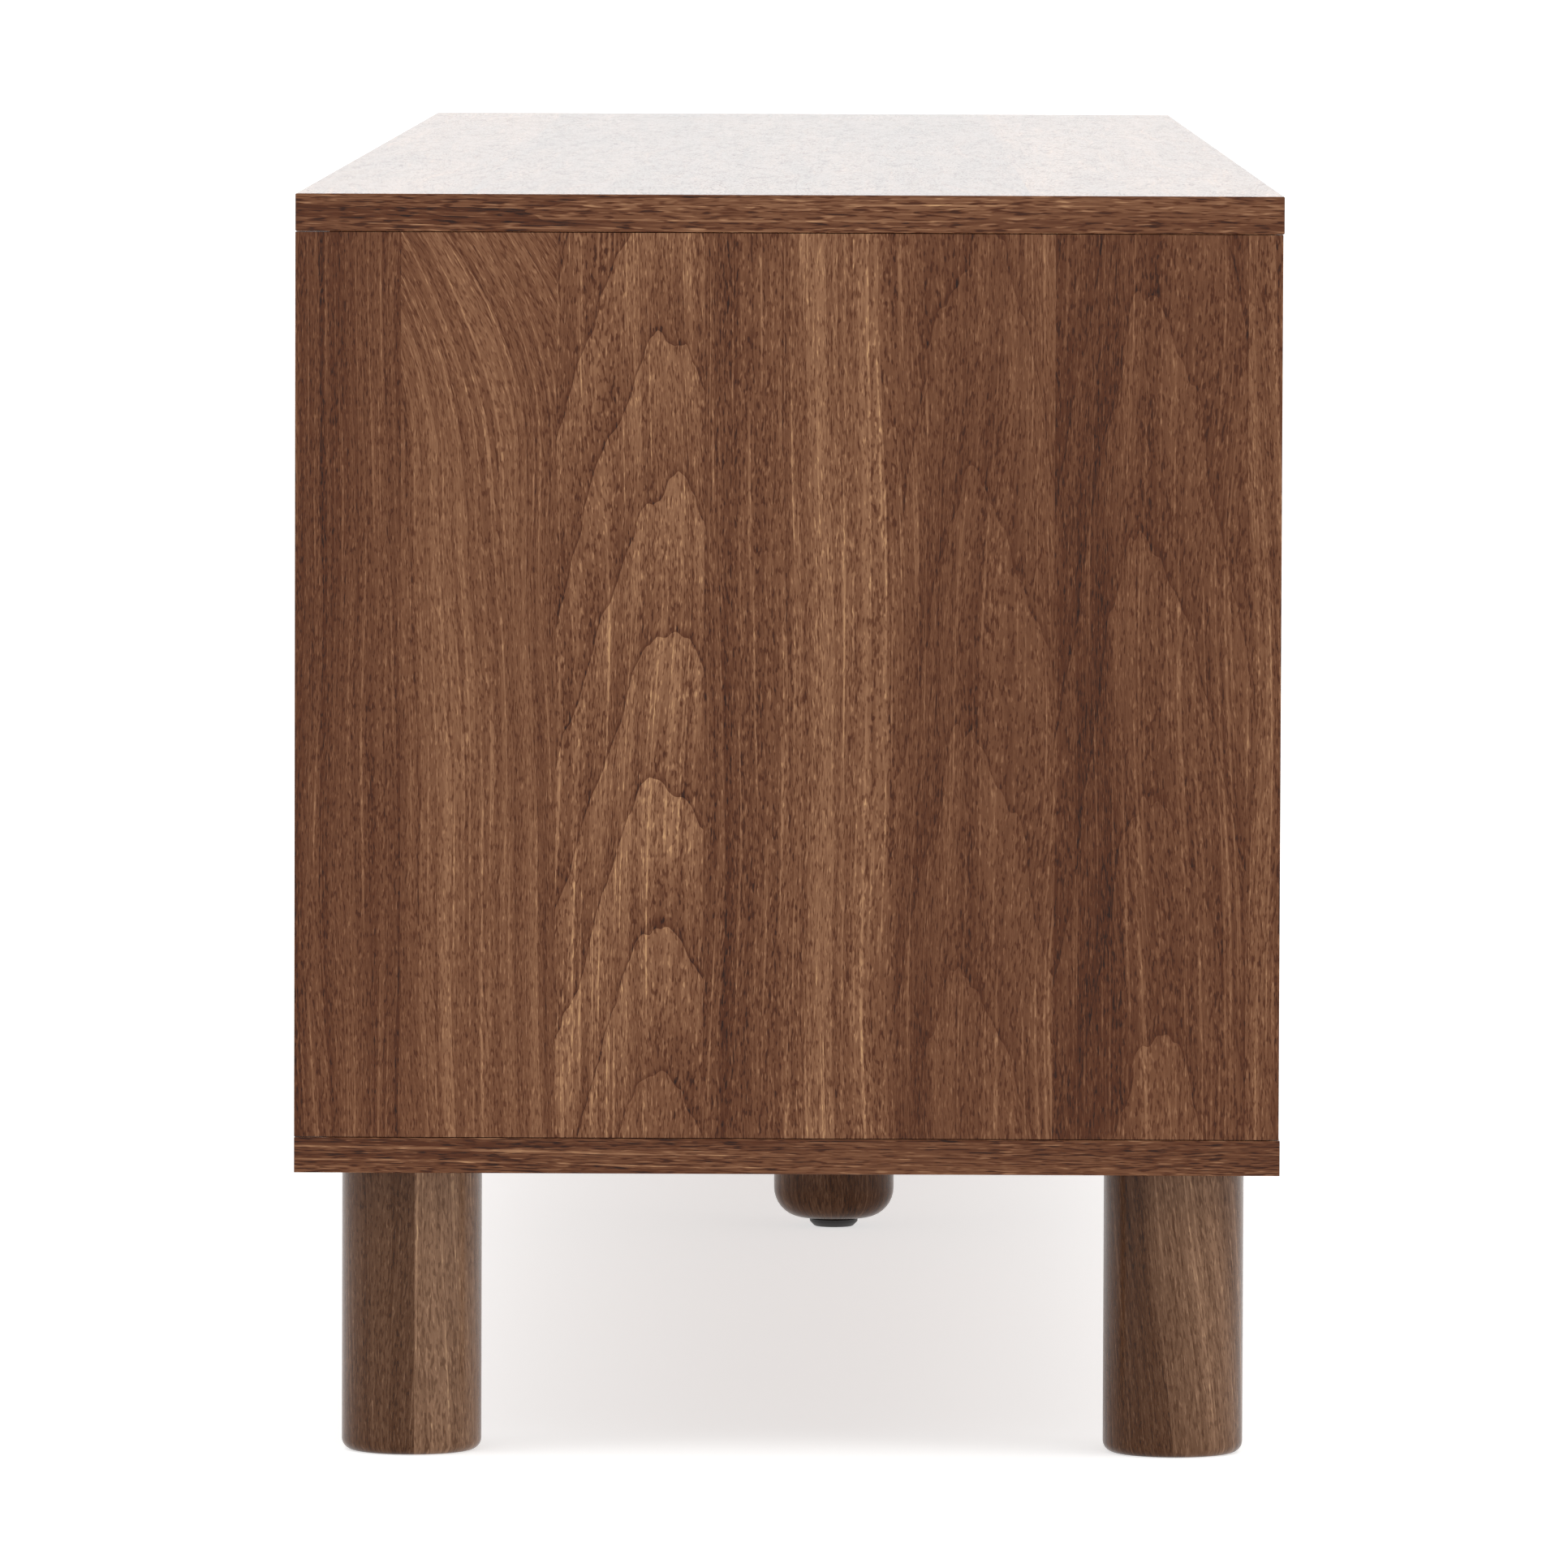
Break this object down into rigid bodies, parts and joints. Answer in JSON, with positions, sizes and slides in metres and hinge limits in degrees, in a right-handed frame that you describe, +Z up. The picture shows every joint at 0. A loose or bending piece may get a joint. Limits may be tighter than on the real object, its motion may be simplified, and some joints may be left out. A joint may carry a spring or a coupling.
{
  "type": "media cabinet",
  "caption": "Long low walnut-veneered media cabinet on round legs, with end doors on pivots, an open niche over a wide drawer, and a levelling foot under the middle.",
  "frame": {"origin": "on the floor, under the middle of the cabinet's bounding box", "axes": "+X along the length to the right as seen from the front, +Y towards the back, +Z up; the doors and the drawer face -Y"},
  "size_m": [2.2, 0.42, 0.54],
  "materials": {
    "walnut_veneer": "satin lacquered walnut veneer",
    "walnut_foil": "matt walnut foil on thin fibreboard",
    "drawer_board": "matt foil-wrapped board",
    "steel": "zinc-plated, satin",
    "black_plastic": "moulded, fine matt texture",
    "white_nylon": "moulded nylon, satin"
  },
  "bodies": {
    "case": {"top_panel": "walnut_veneer", "bottom_panel": "walnut_veneer", "left_end_panel": "walnut_veneer", "right_end_panel": "walnut_veneer", "left_partition": "walnut_veneer", "right_partition": "walnut_veneer", "niche_shelf": "walnut_veneer", "left_back_panel": "walnut_foil", "centre_back_panel": "walnut_foil", "right_back_panel": "walnut_foil", "cable_grommet": "black_plastic", "left_shelf": "walnut_veneer", "left_shelf_pin_outer_front": "steel", "left_shelf_pin_outer_rear": "steel", "left_shelf_pin_inner_front": "steel", "left_shelf_pin_inner_rear": "steel", "right_shelf": "walnut_veneer", "right_shelf_pin_outer_front": "steel", "right_shelf_pin_outer_rear": "steel", "right_shelf_pin_inner_front": "steel", "right_shelf_pin_inner_rear": "steel", "front_left_leg": "walnut_veneer", "front_left_leg_bolt": "steel", "front_right_leg": "walnut_veneer", "front_right_leg_bolt": "steel", "rear_left_leg": "walnut_veneer", "rear_left_leg_bolt": "steel", "rear_right_leg": "walnut_veneer", "rear_right_leg_bolt": "steel", "centre_leg": "walnut_veneer", "centre_leg_bolt": "steel", "left_top_bush": "white_nylon", "left_bottom_bush": "white_nylon", "left_latch_housing": "black_plastic", "right_top_bush": "white_nylon", "right_bottom_bush": "white_nylon", "right_latch_housing": "black_plastic", "left_case_runner": "steel", "right_case_runner": "steel"},
    "left_door": {"left_door": "walnut_veneer", "left_door_top_pivot": "steel", "left_door_bottom_pivot": "steel", "left_strike_plate": "steel"},
    "right_door": {"right_door": "walnut_veneer", "right_door_top_pivot": "steel", "right_door_bottom_pivot": "steel", "right_strike_plate": "steel"},
    "drawer": {"drawer_front": "walnut_veneer", "drawer_left_side": "drawer_board", "drawer_right_side": "drawer_board", "drawer_rear": "drawer_board", "drawer_bottom": "drawer_board", "left_drawer_runner": "steel", "right_drawer_runner": "steel"},
    "middle_runners": {"left_middle_runner": "steel", "right_middle_runner": "steel"},
    "left_plunger": {"left_latch_plunger": "black_plastic"},
    "right_plunger": {"right_latch_plunger": "black_plastic"},
    "levelling_foot": {"levelling_foot_pad": "black_plastic", "levelling_foot_stud": "steel"}
  },
  "joints": [
    {"name": "left_door_hinge", "type": "hinge", "parent": "case", "child": "left_door", "pos_m": [-1.062, -0.2, 0.138], "axis": [0, 0, -1], "range_deg": [0, 110]},
    {"name": "right_door_hinge", "type": "hinge", "parent": "case", "child": "right_door", "pos_m": [1.062, -0.2, 0.138], "axis": [0, 0, 1], "range_deg": [0, 110]},
    {"name": "drawer_slide", "type": "slide", "parent": "case", "child": "drawer", "axis": [0, -1, 0], "range_m": [0, 0.32]},
    {"name": "middle_runner_slide", "type": "slide", "parent": "case", "child": "middle_runners", "axis": [0, -1, 0], "range_m": [0, 0.16]},
    {"name": "left_latch_press", "type": "slide", "parent": "case", "child": "left_plunger", "axis": [0, 1, 0], "range_m": [0, 0.003], "stiffness_N_per_m": 400, "springref_m": -0.004},
    {"name": "right_latch_press", "type": "slide", "parent": "case", "child": "right_plunger", "axis": [0, 1, 0], "range_m": [0, 0.003], "stiffness_N_per_m": 400, "springref_m": -0.004},
    {"name": "foot_levelling", "type": "slide", "parent": "case", "child": "levelling_foot", "axis": [0, 0, -1], "range_m": [0, 0.008]}
  ],
  "couplings": [
    {"joint": "middle_runner_slide", "follows": "drawer_slide", "ratio": 0.5}
  ]
}
